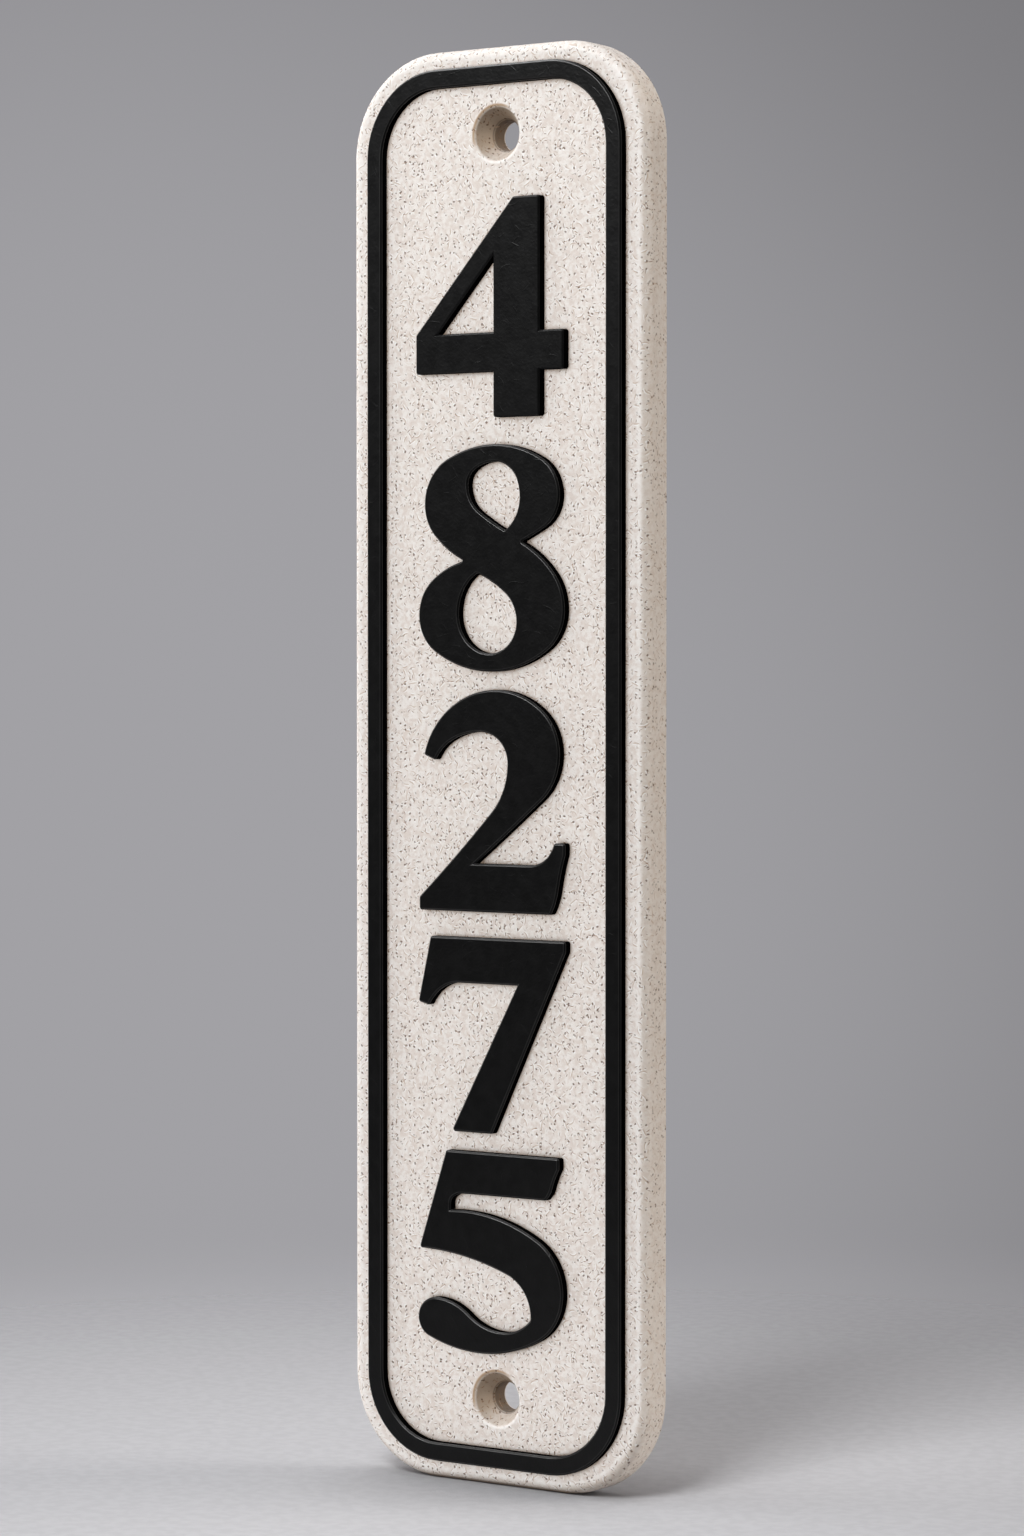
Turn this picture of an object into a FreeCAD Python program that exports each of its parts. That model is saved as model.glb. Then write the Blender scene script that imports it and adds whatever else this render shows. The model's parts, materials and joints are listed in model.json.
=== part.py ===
"""House number plaque: a cast stone-look slab, with a raised rim and numerals in satin black metal.

The plaque stands upright with its front towards -Y, its length along Z and its width along X.
The origin is the centre of the flat back face, which goes against the wall.
All sizes are in millimetres.
"""
import FreeCAD, Part
import math
import os

# Driving dimensions of the slab
SLAB_THICKNESS = 10.0
SLAB_CORNER_RADIUS = 28.4
FRONT_EDGE_ROUND = 2.8
BACK_EDGE_CHAMFER = 0.6

# Raised rim that frames the front
SIDE_MARGIN = 7.0            # slab edge to rim along the two long sides
END_MARGIN = 5.4             # slab edge to rim at the top and the bottom
RIM_WIDTH = 5.2
RIM_CORNER_RADIUS = 23.8     # outer corner of the rim

# Relief that the rim and the numerals share
RELIEF = 2.8                 # how far they stand proud of the slab
BEVEL = 0.5                  # sloped edge round their front faces
FACE_CORNER_ROUND = 0.3      # round left on a front face's outer corners, inside the bevel

# Countersunk screw holes, one near each end
BORE_RADIUS = 4.2
BORE_RIM_CHAMFER = 0.4       # where the bore meets the countersink
COUNTERSINK_ANGLE = 64.0     # full angle of the cone, in degrees
MOUTH_RADIUS = 8.3           # where the hole's soft lip meets the slab's front
LIP_ROUND = 1.2

# Layout down the front, from the rim at the top to the rim at the bottom
RIM_TO_HOLE = 5.3            # rim to the mouth of a screw hole, at both ends
HOLE_TO_FIRST_NUMERAL = 9.6
HOLE_TO_LAST_NUMERAL = 4.5
NUMERAL_TO_RIM = 12.8        # numerals to the rim at the left and the right
GAP_4_TO_8 = 7.4
GAP_8_TO_2 = 5.0
GAP_2_TO_7 = 7.2
GAP_7_TO_5 = 5.4

# Numerals
NUMERAL_WIDTH = 50.0
HEIGHT_4 = 60.5
HEIGHT_8 = 63.0
HEIGHT_2 = 61.8
HEIGHT_7 = 54.4
HEIGHT_5 = 56.2

# Strokes of the numeral 4, which is all straight
STEM_4 = 15.6                # upright stem
ARM_4 = 8.0                  # crossbar beyond the stem
BAR_4 = 10.9                 # depth of the crossbar
FOOT_4 = 12.6                # stem below the crossbar
FLAT_4 = 9.0                 # level top of the stem
DIAGONAL_4 = 5.6             # slanted stroke, measured square across
SHIFT_4 = 0.9                # set this far left, so that it looks centred

# Notches of the numeral 8, where its two bowls meet
NOTCH_ROUND_8 = 0.3

# Sizes that follow from the ones above
cone_half_angle = math.radians(COUNTERSINK_ANGLE / 2)
cone_radius = MOUTH_RADIUS - LIP_ROUND * math.tan(math.pi / 4 - cone_half_angle / 2)
cone_depth = (cone_radius - BORE_RADIUS) / math.tan(cone_half_angle)
outer_corner_round = BEVEL + FACE_CORNER_ROUND
slab_width = NUMERAL_WIDTH + 2 * (NUMERAL_TO_RIM + RIM_WIDTH + SIDE_MARGIN)
hole_inset = END_MARGIN + RIM_WIDTH + RIM_TO_HOLE + MOUTH_RADIUS
numeral_stack = (HEIGHT_4 + GAP_4_TO_8 + HEIGHT_8 + GAP_8_TO_2 + HEIGHT_2
                 + GAP_2_TO_7 + HEIGHT_7 + GAP_7_TO_5 + HEIGHT_5)
slab_length = (2 * (hole_inset + MOUTH_RADIUS)
               + HOLE_TO_FIRST_NUMERAL + numeral_stack + HOLE_TO_LAST_NUMERAL)
hole_height = slab_length / 2 - hole_inset
front = -SLAB_THICKNESS      # the slab's front plane


def edges_along_y(solid):
    """The straight edges square to the front."""
    return [e for e in solid.Edges
            if e.BoundBox.YLength > 1e-3 and e.BoundBox.XLength < 1e-4 and e.BoundBox.ZLength < 1e-4]


def edges_at(solid, y):
    """Every edge that lies in the plane at y."""
    return [e for e in solid.Edges
            if abs(e.BoundBox.YMin - y) < 1e-4 and abs(e.BoundBox.YMax - y) < 1e-4]


def rounded_block(width, length, radius, back, depth):
    """A flat block with rounded corners, centred on the Y axis, from back towards the front."""
    block = Part.makeBox(width, depth, length, FreeCAD.Vector(-width / 2, back - depth, -length / 2))
    return block.makeFillet(radius, edges_along_y(block))


def screw_hole(z):
    """What a countersunk screw hole at height z takes out of the slab."""
    rim_depth = cone_depth - BORE_RIM_CHAMFER / math.tan(cone_half_angle)
    section = [(0, front),
               (cone_radius, front),
               (BORE_RADIUS + BORE_RIM_CHAMFER, front + rim_depth),
               (BORE_RADIUS, front + cone_depth),
               (BORE_RADIUS, 0),
               (0, 0)]
    points = [FreeCAD.Vector(r, y, z) for r, y in section]
    half_section = Part.Face(Part.makePolygon(points + points[:1]))
    return half_section.revolve(FreeCAD.Vector(0, 0, z), FreeCAD.Vector(0, 1, 0), 360)


def plaque_slab():
    slab = rounded_block(slab_width, slab_length, SLAB_CORNER_RADIUS, 0, SLAB_THICKNESS)
    slab = slab.makeFillet(FRONT_EDGE_ROUND, edges_at(slab, front))
    slab = slab.makeChamfer(BACK_EDGE_CHAMFER, edges_at(slab, 0))
    for z in (hole_height, -hole_height):
        slab = slab.cut(screw_hole(z))
    mouths = [e for e in edges_at(slab, front)
              if isinstance(e.Curve, Part.Circle) and abs(e.Curve.Radius - cone_radius) < 1e-4]
    return slab.makeFillet(LIP_ROUND, mouths)


def border_rim():
    width = slab_width - 2 * SIDE_MARGIN
    length = slab_length - 2 * END_MARGIN
    outer = rounded_block(width, length, RIM_CORNER_RADIUS, front, RELIEF)
    inner = rounded_block(width - 2 * RIM_WIDTH, length - 2 * RIM_WIDTH,
                          RIM_CORNER_RADIUS - RIM_WIDTH, front, RELIEF)
    rim = outer.cut(inner)
    return rim.makeChamfer(BEVEL, edges_at(rim, front - RELIEF))


def tangent_arc(start, knee, end):
    """The arc from start to end whose tangents there meet at knee."""
    spread = start.distanceToPoint(end) / (2 * start.distanceToPoint(knee))
    middle = (start + knee * (2 * spread) + end) / (2 + 2 * spread)
    return Part.Arc(start, middle, end).toShape()


class Outline:
    """A closed outline on the slab's front plane, drawn with straight runs and round bows.

    Points are per cent of the numeral's box: x from -50 at its left to 50 at its right,
    and z from 0 at its foot to 100 at its top.
    """

    def __init__(self, height, foot, start):
        self.height = height
        self.foot = foot
        self.first = start
        self.here = start
        self.edges = []

    def place(self, point):
        x, z = point
        return FreeCAD.Vector(x * NUMERAL_WIDTH / 100, front, self.foot + z * self.height / 100)

    def line(self, *ends):
        for end in ends:
            self.edges.append(Part.LineSegment(self.place(self.here), self.place(end)).toShape())
            self.here = end

    def bow(self, leave, arrive, end):
        """Two arcs that join smoothly: out towards leave, and in to the end from arrive.

        The farther leave is from the start, the gentler the first arc, and so for arrive and the end.
        """
        start, finish = self.place(self.here), self.place(end)
        out = self.place(leave) - start
        back = finish - self.place(arrive)
        chord = finish - start
        # Both reaches are scaled alike, so that the two arcs have the same tangent where they meet
        bend = 2 * (out.Length * back.Length - out.dot(back))
        along = chord.dot(out + back)
        span = chord.dot(chord)
        scale = span / (along + math.sqrt(along ** 2 + bend * span))
        first_knee = start + out * scale
        second_knee = finish - back * scale
        share = out.Length / (out.Length + back.Length)
        joint = first_knee + (second_knee - first_knee) * share
        self.edges.append(tangent_arc(start, first_knee, joint))
        self.edges.append(tangent_arc(joint, second_knee, finish))
        self.here = end

    def level_bow(self, end):
        """A bow that leaves level and arrives upright."""
        x, z = self.here
        corner = (end[0], z)
        self.bow(corner, corner, end)

    def upright_bow(self, end):
        """A bow that leaves upright and arrives level."""
        x, z = self.here
        corner = (x, end[1])
        self.bow(corner, corner, end)

    def face(self):
        if self.here != self.first:
            self.line(self.first)
        return Part.Face(Part.Wire(self.edges))


def corners(solid):
    """The edges where two walls of an extruded outline meet at an angle: outer ones, inner ones."""
    outer = []
    inner = []
    for edge in edges_along_y(solid):
        middle = edge.valueAt((edge.FirstParameter + edge.LastParameter) / 2)
        walls = solid.ancestorsOfType(edge, Part.Face)
        first, second = [wall.normalAt(*wall.Surface.parameter(middle)) for wall in walls]
        if first.getAngle(second) < 0.1:
            continue
        beside = middle + (first - second) * 0.01
        kind = inner if solid.isInside(beside, 1e-6, False) else outer
        kind.append(edge)
    return outer, inner


def raised(face, notch_round=0):
    """A numeral in relief on the slab, with soft outer corners and a bevelled front.

    Its inner corners are sharp, or have notch_round.
    """
    solid = face.extrude(FreeCAD.Vector(0, -RELIEF, 0))
    outer, inner = corners(solid)
    if outer:
        solid = solid.makeFillet(outer_corner_round, outer)
    if notch_round:
        solid = solid.makeFillet(notch_round, inner)
    return solid.makeChamfer(BEVEL, edges_at(solid, front - RELIEF))


def polygon(points):
    corners = [FreeCAD.Vector(x, front, z) for x, z in points]
    return Part.Face(Part.makePolygon(corners + corners[:1]))


def numeral_4(foot):
    left = -NUMERAL_WIDTH / 2 - SHIFT_4
    right = NUMERAL_WIDTH / 2 - SHIFT_4
    top = foot + HEIGHT_4
    bar_foot = foot + FOOT_4
    bar_top = bar_foot + BAR_4
    stem_right = right - ARM_4
    stem_left = stem_right - STEM_4
    slope_run = stem_right - FLAT_4 - left
    slope_rise = top - bar_top
    slope = math.hypot(slope_run, slope_rise)
    outer = polygon([(left, bar_foot), (stem_left, bar_foot), (stem_left, foot), (stem_right, foot),
                     (stem_right, bar_foot), (right, bar_foot), (right, bar_top),
                     (stem_right, bar_top), (stem_right, top), (stem_right - FLAT_4, top),
                     (left, bar_top)])
    eye_left = left + DIAGONAL_4 * slope / slope_rise
    eye_top = bar_top + (stem_left - eye_left) * slope_rise / slope_run
    eye = polygon([(eye_left, bar_top), (stem_left, bar_top), (stem_left, eye_top)])
    return raised(outer.cut(eye).Faces[0])


def numeral_8(foot):
    outer = Outline(HEIGHT_8, foot, (1.5, 100))
    outer.bow((27, 100), (45.5, 93.5), (45.5, 77))
    outer.bow((45.5, 63), (31.5, 61), (20, 57))
    outer.bow((38, 50), (48.8, 40.5), (48.8, 27))
    outer.upright_bow((-1, 0))
    outer.level_bow((-50, 25))
    outer.bow((-50, 40.5), (-38.5, 45.5), (-19, 48.9))
    outer.bow((-35.5, 54.5), (-46, 63.5), (-46, 74))
    outer.bow((-46, 94), (-23.5, 100), (1.5, 100))
    upper_eye = Outline(HEIGHT_8, foot, (1.5, 92.3))
    upper_eye.bow((14.5, 92.3), (18.6, 80), (18.6, 76.5))
    upper_eye.bow((18.6, 70.5), (15, 65.5), (9, 62.2))
    upper_eye.bow((-0.5, 66), (-16.2, 74.5), (-16.2, 82.3))
    upper_eye.upright_bow((1.5, 92.3))
    lower_eye = Outline(HEIGHT_8, foot, (-1, 8.1))
    lower_eye.bow((-14, 8.1), (-22.7, 15.5), (-22.7, 25.5))
    lower_eye.bow((-22.7, 35), (-17, 40.5), (-10, 43.3))
    lower_eye.bow((5.5, 38.5), (16.4, 33), (16.4, 22))
    lower_eye.upright_bow((-1, 8.1))
    face = outer.face().cut(upper_eye.face()).cut(lower_eye.face())
    return raised(face.Faces[0], NOTCH_ROUND_8)


def numeral_2(foot):
    drawn = Outline(HEIGHT_2, foot, (-49.7, 0))
    drawn.line((-49.7, 6))
    drawn.bow((-28, 22), (10.4, 56), (10.4, 67))
    drawn.bow((10.4, 77), (3, 81), (-8, 81))
    drawn.bow((-27, 81), (-32.5, 77.8), (-38.5, 68))
    drawn.line((-46.5, 70.5))
    drawn.bow((-41.5, 86.3), (-23.5, 100), (2.5, 100))
    drawn.bow((27, 100), (45.5, 88), (45.5, 71.5))
    drawn.bow((45.5, 55), (18.5, 40.4), (-11.2, 21.8))
    drawn.line((26, 21.8))
    drawn.bow((39, 21.8), (40.5, 28.5), (42, 32))
    drawn.line((49.3, 32), (49.3, 27))
    drawn.bow((45.5, 17.5), (44, 6), (39.7, 0))
    return raised(drawn.face())


def numeral_7(foot):
    drawn = Outline(HEIGHT_7, foot, (-27.6, 0))
    drawn.line((17.2, 76.5), (-22, 76.5))
    drawn.bow((-32, 76.5), (-39, 71.5), (-43, 64.2))
    drawn.line((-50.4, 66))
    drawn.line((-42, 100), (49.6, 100), (49.6, 94.5), (0.2, 0))
    return raised(drawn.face())


def numeral_5(foot):
    drawn = Outline(HEIGHT_5, foot, (-31.3, 100))
    drawn.line((-49.9, 50))
    drawn.bow((-5, 50), (26, 42), (26, 20))
    drawn.bow((26, 18.5), (24, 11.7), (7.5, 11.7))
    drawn.bow((-4, 11.7), (-27, 25.9), (-38, 25.9))
    drawn.level_bow((-50.6, 15.5))
    drawn.upright_bow((-8, 0))
    drawn.bow((4, 0), (47.8, 24), (47.8, 33))
    drawn.bow((47.8, 59), (18.5, 73.4), (-28.2, 70.2))
    drawn.line((-28.2, 73.5))
    drawn.upright_bow((-19.5, 78.8))
    drawn.line((36, 78.8))
    drawn.bow((40.5, 82), (41, 88), (45.2, 94.5))
    drawn.line((45.2, 100))
    return raised(drawn.face())


def numerals():
    """Every numeral by its node's name, from the top of the plaque to the bottom."""
    rows = (("numeral_4", numeral_4, HEIGHT_4, GAP_4_TO_8),
            ("numeral_8", numeral_8, HEIGHT_8, GAP_8_TO_2),
            ("numeral_2", numeral_2, HEIGHT_2, GAP_2_TO_7),
            ("numeral_7", numeral_7, HEIGHT_7, GAP_7_TO_5),
            ("numeral_5", numeral_5, HEIGHT_5, 0))
    foot = hole_height - MOUTH_RADIUS - HOLE_TO_FIRST_NUMERAL
    made = {}
    for name, draw, height, gap_below in rows:
        foot -= height
        made[name] = draw(foot)
        foot -= gap_below
    return made


def main():
    nodes = {"plaque_slab": plaque_slab(), "border_rim": border_rim()}
    nodes.update(numerals())
    os.makedirs("parts", exist_ok=True)
    for name, shape in nodes.items():
        shape.exportStep(f"parts/{name}.step")
        box = shape.optimalBoundingBox(True, False)
        print(f"{name}: {len(shape.Solids)} solid, valid {shape.isValid()}, {shape.Volume:.0f} mm3,"
              f" x {box.XMin:.2f} to {box.XMax:.2f}, y {box.YMin:.2f} to {box.YMax:.2f},"
              f" z {box.ZMin:.2f} to {box.ZMax:.2f}")


main()
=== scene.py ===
"""House number plaque: its finish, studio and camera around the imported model.

Metres, in the model's own frame: the plaque is upright along Z, its front faces -Y
and the origin is the centre of its flat back.
"""
import json
import math

import bmesh
import bpy
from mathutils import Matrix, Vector


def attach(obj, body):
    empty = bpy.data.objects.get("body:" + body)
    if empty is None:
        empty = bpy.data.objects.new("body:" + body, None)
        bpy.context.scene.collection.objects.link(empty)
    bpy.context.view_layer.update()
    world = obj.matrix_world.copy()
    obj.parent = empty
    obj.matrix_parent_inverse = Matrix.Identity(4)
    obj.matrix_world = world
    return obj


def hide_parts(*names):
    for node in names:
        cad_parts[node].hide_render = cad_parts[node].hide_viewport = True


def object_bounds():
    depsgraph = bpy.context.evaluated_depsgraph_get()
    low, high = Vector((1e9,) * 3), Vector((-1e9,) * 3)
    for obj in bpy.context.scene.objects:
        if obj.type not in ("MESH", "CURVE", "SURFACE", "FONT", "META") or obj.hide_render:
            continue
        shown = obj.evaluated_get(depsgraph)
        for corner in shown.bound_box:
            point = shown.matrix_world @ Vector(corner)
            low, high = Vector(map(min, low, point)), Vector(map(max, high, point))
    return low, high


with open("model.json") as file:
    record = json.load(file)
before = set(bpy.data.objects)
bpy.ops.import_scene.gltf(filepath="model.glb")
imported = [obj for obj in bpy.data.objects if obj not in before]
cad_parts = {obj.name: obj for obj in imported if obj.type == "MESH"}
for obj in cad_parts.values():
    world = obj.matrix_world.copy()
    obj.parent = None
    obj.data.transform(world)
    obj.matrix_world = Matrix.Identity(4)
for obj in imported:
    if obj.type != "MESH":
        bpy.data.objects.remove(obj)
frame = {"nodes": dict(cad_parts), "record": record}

cad_low, cad_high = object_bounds()
wall_screws = next(mount["dims"] for mount in frame["record"]["mounts"] if mount["name"] == "wall_screws")

MM = 0.001
RELIEF_NODES = ["border_rim", "numeral_4", "numeral_8", "numeral_2", "numeral_7", "numeral_5"]

# The slab, its relief and its screw holes, in mm
SLAB_CORNER = 28.4                              # the slab's corner radius
RELIEF = 2.8                                    # how far the rim and the numerals stand proud of the slab
SLAB_FRONT = cad_low.y / MM + RELIEF            # Y of the slab's front
HOLE_HEIGHT = wall_screws["spacing_y_mm"] / 2   # Z of the upper hole, which the lower one mirrors
BORE = wall_screws["hole_r_mm"]
MOUTH = 8.3                                     # radius where a hole's soft lip meets the front
LIP = 0.9                                       # width of the lip
EDGE_EASE = 0.1                                 # width of the easing on the relief's sharp edges

# What counts as flat, sharp or upright on the relief
FLAT_ANGLE = 0.5                                # degrees between faces that are joined into one
SHARP_ANGLE = 25                                # degrees between faces whose edge is eased
FLANK_FACING = 0.3                              # a face that faces the front less than this is a flank

# Strokes in the finishes: their spacing, half length and half width in mm, the share of the cells that hold
# one, how far they bend, and an offset that sets one kind's pattern apart from the next
SCRATCHES = dict(spacing=1.5, share=0.75, half_length=0.42, half_width=0.13, bend=0.5, offset=80.0)
LONG_SCRATCHES = dict(spacing=2.6, share=0.8, half_length=0.95, half_width=0.16, bend=0.4, offset=40.0)
FLECKS = dict(spacing=1.55, share=0.68, half_length=0.28, half_width=0.24, bend=0.2, offset=10.0)
CREASES = dict(spacing=4.0, share=0.8, half_length=1.7, half_width=0.14, bend=0.2, offset=25.0)

# Lumps of the finishes' mottling and grain, in mm
STONE_CLOUD = 1.3
STONE_GRAIN = 0.3
PAINT_CLOUD = 3.0
PAINT_GRAIN = 0.9
EDGE_HIGHLIGHT_CLOUD = 6.0
FLANK_GRAIN = 0.6

# How deep the finishes' bump is, in mm
STONE_BUMP = 0.06
PAINT_BUMP = 0.07

# How far the browner shade reaches from where the relief meets the slab, in mm
FOOT_SHADE = 1.3

# Which way from their axes the holes' painted highlights lie, with painted shade on the far side, and which
# way the slab's painted shade faces
HOLE_LOWER_RIGHT = (0.64, 0.0, -0.77)
SLAB_LOWER_RIGHT = (0.8, 0.0, -0.6)

# Camera, from the lines of the plaque in the photograph
CAMERA_PLACE = (0.7058, -1.0106, 0.0332)
CAMERA_TURN = 35.0                              # degrees round the plaque from square on
CAMERA_DIP = 1.54                               # degrees below level
CAMERA_LENS = 103.4                             # mm
CAMERA_SENSOR = 36.0                            # mm, on the long side

# Floor, in metres
FLOOR_RADIUS = 0.62
FLOOR_SOLID = 0.06                              # distance from the centre where it starts to fade out
FLOOR_GONE = 0.57                               # distance where nothing of it is left
FLOOR_GRAIN = 0.004                             # lumps of its mottle
FLOOR_SHADE = 0.08                              # how far the plaque's contact shade reaches

# Backdrop, in degrees to the right of straight in front and above level
GLOW = (-139.0, -3.0)
GLOW_SPREAD = 18.0
FLAG = (60.0, 0.0)


def srgb(red, green, blue):
    """A colour as a screen shows it, from 0 to 255, as linear light."""
    def linear(value):
        share = value / 255
        return share / 12.92 if share <= 0.04045 else ((share + 0.055) / 1.055) ** 2.4
    return (linear(red), linear(green), linear(blue), 1.0)


# The stone's tones
STONE_DULL = srgb(226, 215, 206)
STONE_PALE = srgb(240, 234, 228)
STONE_SPECK = srgb(186, 172, 158)
STONE_EDGE_HIGHLIGHT = srgb(248, 245, 241)
STONE_PAINTED_SHADE = srgb(208, 193, 174)
STONE_FOOT_SHADE = srgb(122, 100, 80)
STROKE_HIGHLIGHT = srgb(254, 253, 251)
LONG_SCRATCH = srgb(184, 156, 130)
SCRATCH = srgb(136, 98, 64)
FLECK = srgb(98, 70, 46)

# The screw holes' painted shade and painted highlight
HOLE_CONE_SHADE = srgb(169, 150, 129)
HOLE_BORE_SHADE = srgb(98, 82, 66)
BORE_EDGE_SHADE = srgb(92, 78, 66)
LIP_HIGHLIGHT = srgb(252, 249, 245)
LIP_SHADE = srgb(176, 142, 104)

# The paint's tones, each pair mottled together; the edges' paler pair is a painted highlight and the
# flanks' darker pair painted shade
FACE_TONES = (srgb(5, 5, 5), srgb(13, 13, 13))
EDGE_HIGHLIGHT_TONES = (srgb(10, 10, 10), srgb(46, 45, 44))
FLANK_SHADE_TONES = (srgb(4, 4, 4), srgb(7, 6, 6))

# The studio's tones
FLOOR_TONES = (srgb(205, 205, 208), srgb(211, 211, 214))
FLOOR_CONTACT_SHADOW = srgb(104, 104, 107)
BACKDROP = srgb(124, 123, 126)
BACKDROP_GLOW = srgb(162, 161, 165)
BACKDROP_FLAG = srgb(84, 84, 86)
BACKDROP_LOW = srgb(86, 86, 88)


class Graph:
    """The node tree of a material or of the world. Most calls add nodes and give an output of the last."""

    def __init__(self, owner):
        owner.use_nodes = True
        self.tree = owner.node_tree
        self.tree.nodes.clear()

    def node(self, kind, inputs=None, **settings):
        """A new node, with its inputs linked or set. This gives the node itself."""
        made = self.tree.nodes.new("ShaderNode" + kind)
        for key, value in settings.items():
            setattr(made, key, value)
        for key, value in (inputs or {}).items():
            if isinstance(value, bpy.types.NodeSocket):
                self.tree.links.new(value, made.inputs[key])
            else:
                made.inputs[key].default_value = value
        return made

    def math(self, operation, *values):
        return self.node("Math", dict(enumerate(values)), operation=operation).outputs[0]

    def product(self, first, *others):
        """All the values multiplied together."""
        total = first
        for value in others:
            total = self.math("MULTIPLY", total, value)
        return total

    def vector(self, operation, *values):
        made = self.node("VectorMath", dict(enumerate(values)), operation=operation)
        return made.outputs["Value" if operation in ("DOT_PRODUCT", "LENGTH") else "Vector"]

    def times(self, vector, factor):
        return self.node("VectorMath", {0: vector, "Scale": factor}, operation="SCALE").outputs["Vector"]

    def place_in_mm(self):
        return self.times(self.node("TexCoord").outputs["Object"], 1 / MM)

    def normal(self):
        return self.node("NewGeometry").outputs["Normal"]

    def ramp(self, value, low, high, to_low=0.0, to_high=1.0):
        """Value, as it goes from low to high, eased from to_low to to_high."""
        return self.node("MapRange", {"Value": value, "From Min": low, "From Max": high, "To Min": to_low,
                                      "To Max": to_high}, interpolation_type="SMOOTHSTEP").outputs["Result"]

    def band(self, value, start, full, fade, end):
        """1 while value is between full and fade, eased down to 0 at start and at end."""
        return self.product(self.ramp(value, start, full), self.ramp(value, end, fade))

    def mix(self, share, first, second):
        """The first colour blended into the second one as share goes from 0 to 1."""
        return self.node("Mix", {0: share, 6: first, 7: second}, data_type="RGBA").outputs[2]

    def tint(self, colour, tone, *shares):
        """The colour turned towards the tone by the product of the shares."""
        return self.mix(self.product(*shares), colour, tone)

    def noise(self, place, grain, detail):
        """Smooth noise from 0 to 1 with lumps about grain across, in the units of place."""
        return self.node("TexNoise", {"Vector": place, "Scale": 1 / grain, "Detail": detail}).outputs["Fac"]

    def openness(self, distance, samples):
        """How open a point's surroundings are within the distance, from 0 to 1."""
        return self.node("AmbientOcclusion", {"Distance": distance}, samples=samples).outputs["AO"]

    def bump(self, height, strength, depth):
        """The surface's normal, tilted by a height of which 1 stands for depth, in metres."""
        inputs = {"Strength": strength, "Distance": depth, "Height": height}
        return self.node("Bump", inputs).outputs["Normal"]

    def solid(self, colour, roughness, specular, normal=None):
        """The light from a solid surface, with its own normal unless another is given."""
        inputs = {"Base Color": colour, "Roughness": roughness, "Specular IOR Level": specular}
        if normal:
            inputs["Normal"] = normal
        return self.node("BsdfPrincipled", inputs).outputs["BSDF"]

    def surface(self, shader):
        self.node("OutputMaterial", {"Surface": shader})


def strokes(graph, place, normal, spacing, share, half_length, half_width, bend, offset):
    """Short strokes scattered over a surface, one to a cell, each turned, bent and sized its own way.

    Gives two masks, up to 1: the strokes themselves, and a line along one side of each, which the stone
    uses for a painted highlight.
    Sizes are in the units of place. Share is how many of the cells hold a stroke, the last of them faintly.
    """
    moved = graph.vector("ADD", place, (offset, offset, offset))
    cell = graph.node("TexVoronoi", {"Vector": moved, "Scale": 1 / spacing})
    pick = graph.node("SeparateColor", {"Color": cell.outputs["Color"]})
    away = graph.vector("SUBTRACT", moved, cell.outputs["Position"])

    # Each cell's stroke runs its own way, in the plane of the surface
    chance = graph.node("TexWhiteNoise", {"Vector": cell.outputs["Position"]}).outputs["Color"]
    lean = graph.vector("SUBTRACT", chance, (0.5, 0.5, 0.5))
    out_of_plane = graph.vector("DOT_PRODUCT", lean, normal)
    in_plane = graph.vector("SUBTRACT", lean, graph.times(normal, out_of_plane))
    lengthwise = graph.vector("NORMALIZE", in_plane)
    sideways = graph.vector("CROSS_PRODUCT", normal, lengthwise)
    along = graph.vector("DOT_PRODUCT", away, lengthwise)
    across = graph.vector("DOT_PRODUCT", away, sideways)

    curl = graph.product(graph.math("SUBTRACT", pick.outputs["Blue"], 0.5), 2 * bend)
    bent = graph.math("MULTIPLY_ADD", curl, graph.product(along, along), across)
    reach = graph.math("MULTIPLY_ADD", pick.outputs["Green"], half_length, 0.5 * half_length)
    taper = graph.math("POWER", graph.math("ABSOLUTE", graph.math("DIVIDE", along, reach)), 3.0)

    # A stroke whose cell's centre lies too deep under the surface is left out
    depth = graph.math("ABSOLUTE", graph.vector("DOT_PRODUCT", away, normal))
    near = graph.ramp(depth, 0.5 * spacing, 0.35 * spacing)
    strength = graph.product(graph.ramp(pick.outputs["Red"], share, 0.3 * share), near)
    masks = []
    for shift in (0.0, 2 * half_width):
        width = graph.math("DIVIDE", graph.math("SUBTRACT", bent, shift), half_width)
        spread = graph.math("MULTIPLY_ADD", width, width, taper)
        masks.append(graph.product(graph.ramp(spread, 2.0, 0.0), strength))
    return masks


def edge_distance(graph, place):
    """How far a point lies inside the slab's outline, as seen from the front, in mm."""
    reach = graph.vector("ABSOLUTE", place)
    corner = (SLAB_CORNER - cad_high.x / MM, 0.0, SLAB_CORNER - cad_high.z / MM)
    past = graph.node("SeparateXYZ", {"Vector": graph.vector("ADD", reach, corner)})
    x, z = past.outputs["X"], past.outputs["Z"]
    inside = graph.math("MINIMUM", graph.math("MAXIMUM", x, z), 0.0)
    outside_x = graph.math("MAXIMUM", x, 0.0)
    outside_z = graph.math("MAXIMUM", z, 0.0)
    around = graph.node("CombineXYZ", {"X": outside_x, "Z": outside_z}).outputs["Vector"]
    out = graph.math("ADD", graph.vector("LENGTH", around), inside)
    return graph.math("SUBTRACT", SLAB_CORNER, out)


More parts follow.
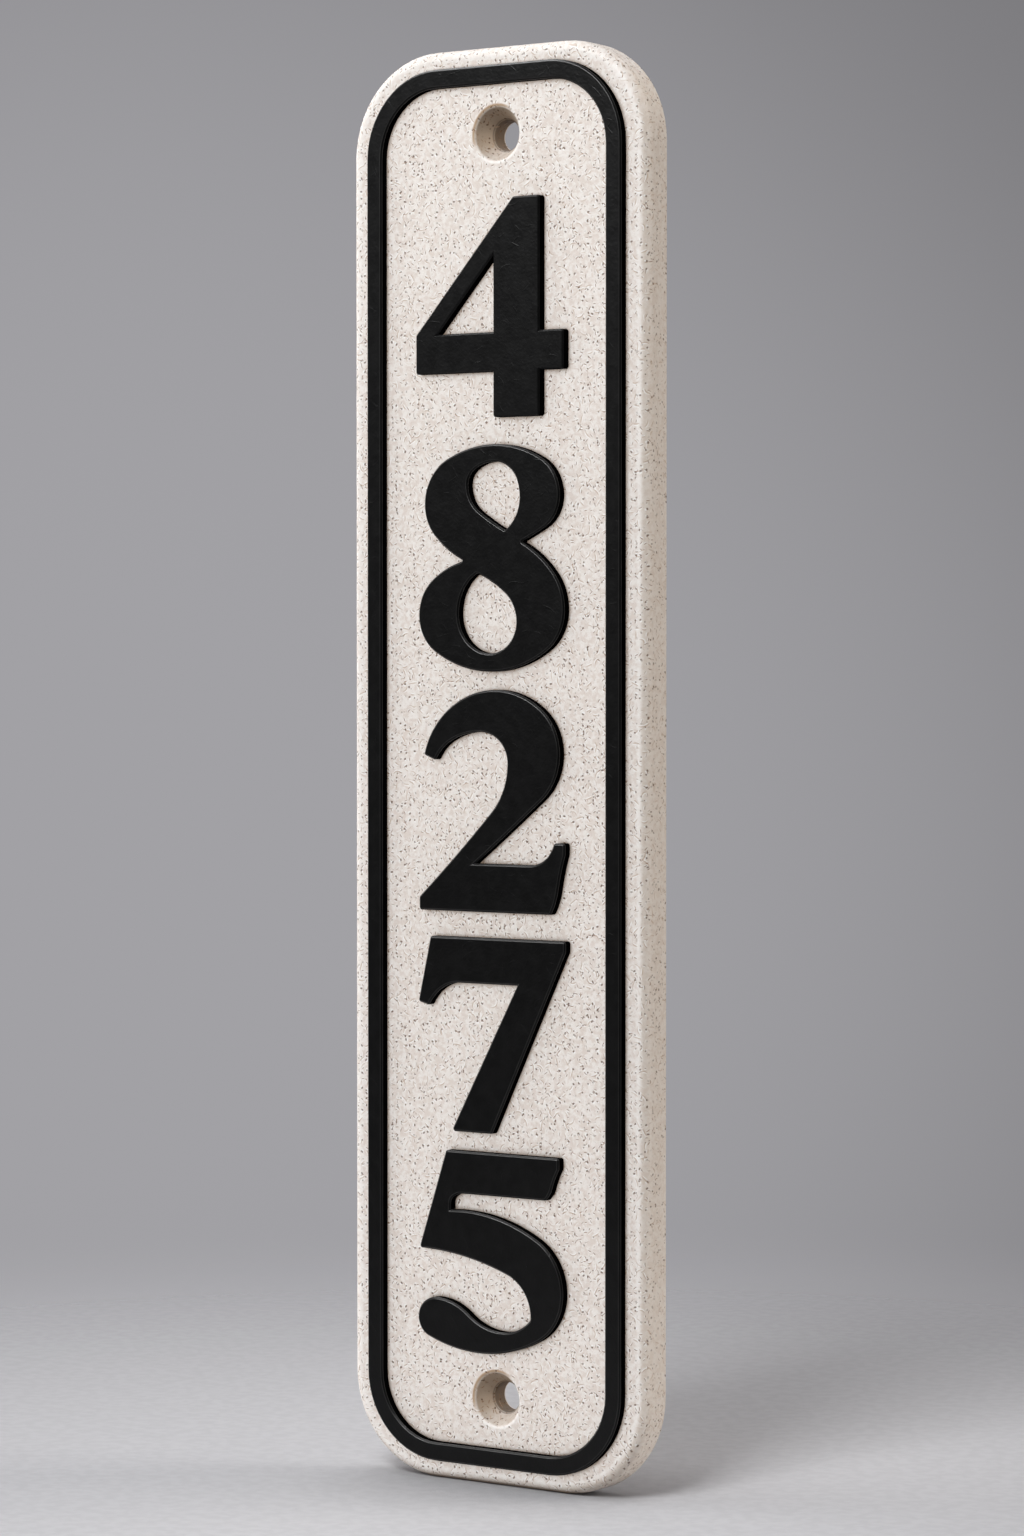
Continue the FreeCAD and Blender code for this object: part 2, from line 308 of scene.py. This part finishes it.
def hole_tones(graph, place, colour):
    """The colour, with painted shade in the holes' insides, darker at the upper left, and on each lip a
    painted shade at the upper left and a painted highlight at the lower right.
    """
    axes = graph.node("SeparateXYZ", {"Vector": place})
    depth = axes.outputs["Y"]
    half = graph.math("SIGN", axes.outputs["Z"])

    # Out from the axis of the hole in the same half of the slab
    height = graph.math("MULTIPLY_ADD", half, -HOLE_HEIGHT, axes.outputs["Z"])
    spoke = graph.node("CombineXYZ", {"X": axes.outputs["X"], "Z": height}).outputs["Vector"]
    out = graph.vector("LENGTH", spoke)
    lean = graph.vector("DOT_PRODUCT", graph.vector("NORMALIZE", spoke), HOLE_LOWER_RIGHT)
    sunk = graph.band(depth, SLAB_FRONT, SLAB_FRONT + 0.8, -0.5, -0.1)

    # Painted shade: the cone darker, more at the upper left, the bore darker still, with a dark ring where
    # they meet
    cone = graph.ramp(out, MOUTH - 0.4, MOUTH - 1.0)
    shade = graph.ramp(lean, -0.5, 0.7, 0.95, 0.45)
    colour = graph.tint(colour, HOLE_CONE_SHADE, cone, sunk, shade)
    bore = graph.ramp(out, BORE + 0.25, BORE + 0.1)
    colour = graph.tint(colour, HOLE_BORE_SHADE, bore, sunk, 0.85)
    bore_edge = graph.band(out, BORE + 0.15, BORE + 0.35, BORE + 0.4, BORE + 0.6)
    colour = graph.tint(colour, BORE_EDGE_SHADE, bore_edge, sunk, 0.6)

    # Painted highlight on each lip's lower right side and painted shade on its upper left
    ring = graph.band(out, MOUTH - LIP, MOUTH - 0.4 * LIP, MOUTH - 0.2, MOUTH + 0.3)
    lip = graph.product(ring, graph.ramp(depth, SLAB_FRONT + 3.0, SLAB_FRONT + 2.0))
    colour = graph.tint(colour, LIP_HIGHLIGHT, lip, graph.ramp(lean, -0.1, 0.5), 0.5)
    return graph.tint(colour, LIP_SHADE, lip, graph.ramp(lean, -0.1, -0.6), 0.85)


def stone_material():
    """Off-white cast stone: soft mottling, dark flecks and brownish scratches, each stroke with a painted
    highlight along one side.
    """
    material = bpy.data.materials.new("stone_slab")
    graph = Graph(material)
    place = graph.place_in_mm()
    normal = graph.normal()

    # The plain stone, with a painted highlight on the brink of its rounded edge, and painted shade, warmer
    # and darker, on the sides that face the lower right
    cloud = graph.ramp(graph.noise(place, STONE_CLOUD, detail=3.0), 0.36, 0.62)
    colour = graph.mix(cloud, STONE_DULL, STONE_PALE)
    grain = graph.noise(place, STONE_GRAIN, detail=2.0)
    colour = graph.mix(graph.ramp(grain, 0.25, 0.55, 0.2, 0.0), colour, STONE_SPECK)
    inset = edge_distance(graph, place)
    # Painted highlight: a paler band where the front turns into the rounded edge
    colour = graph.tint(colour, STONE_EDGE_HIGHLIGHT, graph.band(inset, 1.4, 2.6, 3.0, 4.0), 0.4)
    # Painted shade: warmer and darker where the surface faces the lower right
    lower_right = graph.vector("DOT_PRODUCT", normal, SLAB_LOWER_RIGHT)
    colour = graph.mix(graph.ramp(lower_right, 0.0, 0.4, 0.0, 0.45), colour, STONE_PAINTED_SHADE)

    # The strokes' painted highlights fade out where the slab's edge turns away, and lie under the holes'
    # painted shade and highlights
    scratch, scratch_highlight = strokes(graph, place, normal, **SCRATCHES)
    long_scratch, long_highlight = strokes(graph, place, normal, **LONG_SCRATCHES)
    fleck, fleck_highlight = strokes(graph, place, normal, **FLECKS)
    facing = graph.math("ABSOLUTE", graph.vector("DOT_PRODUCT", normal, (0.0, 1.0, 0.0)))
    # Painted highlight: a pale line along one side of each stroke
    sides = graph.math("MAXIMUM", scratch_highlight, graph.math("MAXIMUM", long_highlight, fleck_highlight))
    colour = graph.tint(colour, STROKE_HIGHLIGHT, sides, graph.ramp(facing, 0.3, 0.9), 0.7)
    colour = hole_tones(graph, place, colour)
    boldness = graph.product(graph.ramp(facing, 0.2, 0.8, 1.0, 0.95), graph.ramp(inset, 3.0, 8.0, 0.9, 1.0))
    colour = graph.tint(colour, LONG_SCRATCH, long_scratch, 0.65)
    colour = graph.tint(colour, SCRATCH, scratch, boldness, 0.85)
    colour = graph.tint(colour, FLECK, fleck, boldness)

    # Painted shade: browner where the relief meets the slab, from ambient occlusion
    foot = graph.ramp(graph.openness(FOOT_SHADE * MM, samples=6), 0.95, 0.4, 0.0, 0.85)
    colour = graph.mix(foot, colour, STONE_FOOT_SHADE)

    height = graph.math("SUBTRACT", graph.product(grain, 0.8), graph.math("ADD", fleck, scratch))
    bump = graph.bump(height, strength=0.8, depth=STONE_BUMP * MM)
    graph.surface(graph.solid(colour, roughness=0.6, specular=0.4, normal=bump))
    return material


def black_material():
    """Satin black paint with faint short creases."""
    material = bpy.data.materials.new("black_relief")
    graph = Graph(material)
    place = graph.place_in_mm()
    crease = strokes(graph, place, graph.normal(), **CREASES)[0]
    cloud = graph.noise(place, PAINT_CLOUD, detail=3.0)
    grain = graph.noise(place, PAINT_GRAIN, detail=3.0)
    colour = graph.mix(cloud, *FACE_TONES)
    height = graph.math("MULTIPLY_ADD", crease, 0.5, graph.product(grain, 1.6))
    bump = graph.bump(height, strength=0.7, depth=PAINT_BUMP * MM)
    roughness = graph.ramp(cloud, 0.3, 0.7, 0.33, 0.38)
    graph.surface(graph.solid(colour, roughness, specular=0.18, normal=bump))
    return material


def edge_material():
    """Painted highlight: the paint paler along the relief's sharp edges, with more sheen."""
    material = bpy.data.materials.new("black_edge")
    graph = Graph(material)
    highlight_mottle = graph.noise(graph.place_in_mm(), EDGE_HIGHLIGHT_CLOUD, detail=3.0)
    graph.surface(graph.solid(graph.mix(highlight_mottle, *EDGE_HIGHLIGHT_TONES), roughness=0.35, specular=0.35))
    return material


def flank_material():
    """The relief's upright sides: a duller finish, and a deeper black that is painted shade."""
    material = bpy.data.materials.new("black_flank")
    graph = Graph(material)
    grain = graph.noise(graph.place_in_mm(), FLANK_GRAIN, detail=2.0)
    graph.surface(graph.solid(graph.mix(grain, *FLANK_SHADE_TONES), roughness=1.0, specular=0.0))
    return material


def relief_piece(name, face_finish, flank_finish, edge_finish):
    """The node's own form with its sharp edges eased, and a finish each for its face, sides and edges."""
    mesh = frame["nodes"][name].data.copy()
    mesh.name = name + "_relief"
    mesh.materials.clear()
    finishes = [face_finish, flank_finish, edge_finish]
    for finish in finishes:
        mesh.materials.append(finish)
    form = bmesh.new()
    form.from_mesh(mesh)
    bmesh.ops.remove_doubles(form, verts=form.verts, dist=0.001 * MM)
    bmesh.ops.dissolve_limit(form, angle_limit=math.radians(FLAT_ANGLE), verts=form.verts, edges=form.edges)
    for face in form.faces:
        face.smooth = True
        # Upright faces take the flank finish, whose deeper black is painted shade
        finish = flank_finish if abs(face.normal.y) < FLANK_FACING else face_finish
        face.material_index = finishes.index(finish)
    form.to_mesh(mesh)
    form.free()
    piece = bpy.data.objects.new(mesh.name, mesh)
    bpy.context.scene.collection.objects.link(piece)
    ease = piece.modifiers.new("eased_edges", "BEVEL")
    ease.limit_method = "ANGLE"
    ease.angle_limit = math.radians(SHARP_ANGLE)
    ease.width = EDGE_EASE * MM
    ease.segments = 2
    # The eased edges take the finish with the painted highlight
    ease.material = finishes.index(edge_finish)
    even = piece.modifiers.new("even_faces", "WEIGHTED_NORMAL")
    even.weight = 80
    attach(piece, "root")
    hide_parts(name)


def finish_pieces():
    """The stone on the slab, and a piece with its finishes for each part of the relief."""
    slab = frame["nodes"]["plaque_slab"]
    slab.data.materials.clear()
    slab.data.materials.append(stone_material())
    finishes = [black_material(), flank_material(), edge_material()]
    for name in RELIEF_NODES:
        relief_piece(name, *finishes)


def floor_material():
    """Pale grey with a fine mottle, with a painted shadow close to the plaque, and fading out with
    distance.
    """
    material = bpy.data.materials.new("studio_floor")
    graph = Graph(material)
    place = graph.node("TexCoord").outputs["Object"]
    shown = graph.ramp(graph.vector("LENGTH", place), FLOOR_SOLID, FLOOR_GONE, 1.0, 0.0)
    cloud = graph.ramp(graph.noise(place, FLOOR_GRAIN, detail=3.0), 0.35, 0.65)
    colour = graph.mix(cloud, *FLOOR_TONES)
    # Painted shadow: darker near the plaque, from ambient occlusion
    contact = graph.ramp(graph.openness(FLOOR_SHADE, samples=8), 0.98, 0.4, 0.0, 0.6)
    colour = graph.mix(contact, colour, FLOOR_CONTACT_SHADOW)
    matt = graph.solid(colour, roughness=0.9, specular=0.1)
    clear = graph.node("BsdfTransparent").outputs["BSDF"]
    graph.surface(graph.node("MixShader", {0: shown, 1: clear, 2: matt}).outputs["Shader"])
    return material


def floor_piece():
    """A round floor at the plaque's foot."""
    mesh = bpy.data.meshes.new("studio_floor")
    form = bmesh.new()
    bmesh.ops.create_circle(form, cap_ends=True, segments=96, radius=FLOOR_RADIUS)
    form.to_mesh(mesh)
    form.free()
    mesh.materials.append(floor_material())
    floor = bpy.data.objects.new("studio_floor", mesh)
    floor.location.z = cad_low.z
    bpy.context.scene.collection.objects.link(floor)


def heading(azimuth, elevation):
    """The direction that many degrees to the right of straight in front, and that many above level."""
    turn, rise = math.radians(azimuth), math.radians(elevation)
    return (math.sin(turn) * math.cos(rise), -math.cos(turn) * math.cos(rise), math.sin(rise))


def background():
    """A grey studio: a soft glow behind the plaque, a dark flag to its right and a darker low front."""
    world = bpy.data.worlds.new("studio")
    bpy.context.scene.world = world
    graph = Graph(world)
    ray = graph.vector("NORMALIZE", graph.node("TexCoord").outputs["Generated"])
    axes = graph.node("SeparateXYZ", {"Vector": ray})
    glow_side = graph.vector("DOT_PRODUCT", ray, heading(*GLOW))
    glow = graph.ramp(glow_side, math.cos(math.radians(GLOW_SPREAD)), 1.0)
    flag_side = graph.vector("DOT_PRODUCT", ray, heading(*FLAG))
    flag = graph.ramp(flag_side, 0.2, 0.9)
    low = graph.ramp(axes.outputs["Z"], 0.1, -0.2)
    front = graph.ramp(axes.outputs["Y"], 0.0, -0.3)
    colour = graph.mix(glow, BACKDROP, BACKDROP_GLOW)
    colour = graph.mix(flag, colour, BACKDROP_FLAG)
    colour = graph.tint(colour, BACKDROP_LOW, low, front)
    shown = graph.node("Background", {"Color": colour, "Strength": 1.0}).outputs["Background"]
    graph.node("OutputWorld", {"Surface": shown})


def lamp(name, azimuth, elevation, distance, size, share, tint=(1, 1, 1), in_gloss=True, in_matt=True):
    """A square soft box aimed at the plaque. Share is the light that it adds to a surface that faces it."""
    light = bpy.data.lights.new(name, "AREA")
    light.shape = "SQUARE"
    light.size = size
    light.energy = share * (math.pi * distance) ** 2
    light.color = tint
    made = bpy.data.objects.new(name, light)
    place = Vector(heading(azimuth, elevation)) * distance
    made.location = place
    made.rotation_euler = (-place).to_track_quat("-Z", "Y").to_euler()
    made.visible_glossy = in_gloss
    made.visible_diffuse = in_matt
    bpy.context.scene.collection.objects.link(made)
    return made


def lamps():
    """The soft boxes. The slab alone blocks the key and left lamps, and the edge lamp lights it alone."""
    slab_alone = bpy.data.collections.new("slab_alone")
    slab_alone.objects.link(frame["nodes"]["plaque_slab"])
    key = lamp("key_lamp", azimuth=7, elevation=44, distance=1.6, size=0.6, share=0.69)
    left = lamp("left_lamp", azimuth=-72, elevation=8, distance=1.6, size=1.0, share=0.6, in_gloss=False)
    edge = lamp("edge_lamp", azimuth=-105, elevation=28, distance=1.8, size=0.8, share=0.6, in_gloss=False)
    key.light_linking.blocker_collection = slab_alone
    left.light_linking.blocker_collection = slab_alone
    edge.light_linking.receiver_collection = slab_alone
    lamp("side_lamp", azimuth=125, elevation=12, distance=1.8, size=0.9, share=0.55, tint=(1.0, 0.95, 0.9),
         in_gloss=False)
    lamp("fill_lamp", azimuth=0, elevation=30, distance=1.6, size=1.0, share=0.1, in_gloss=False)
    lamp("sheen_lamp", azimuth=-25, elevation=42, distance=2.0, size=0.8, share=1.4, in_matt=False)
    lamp("bevel_lamp", azimuth=-90, elevation=57, distance=2.2, size=0.8, share=0.5, in_matt=False)


def camera():
    """The photograph's own view."""
    made = bpy.data.objects.new("camera", bpy.data.cameras.new("camera"))
    made.location = CAMERA_PLACE
    made.rotation_euler = (math.radians(90 - CAMERA_DIP), 0, math.radians(CAMERA_TURN))
    made.data.lens = CAMERA_LENS
    made.data.sensor_width = CAMERA_SENSOR
    bpy.context.scene.collection.objects.link(made)
    bpy.context.scene.camera = made


bpy.context.scene.view_settings.view_transform = "Standard"
finish_pieces()
floor_piece()
background()
lamps()
camera()
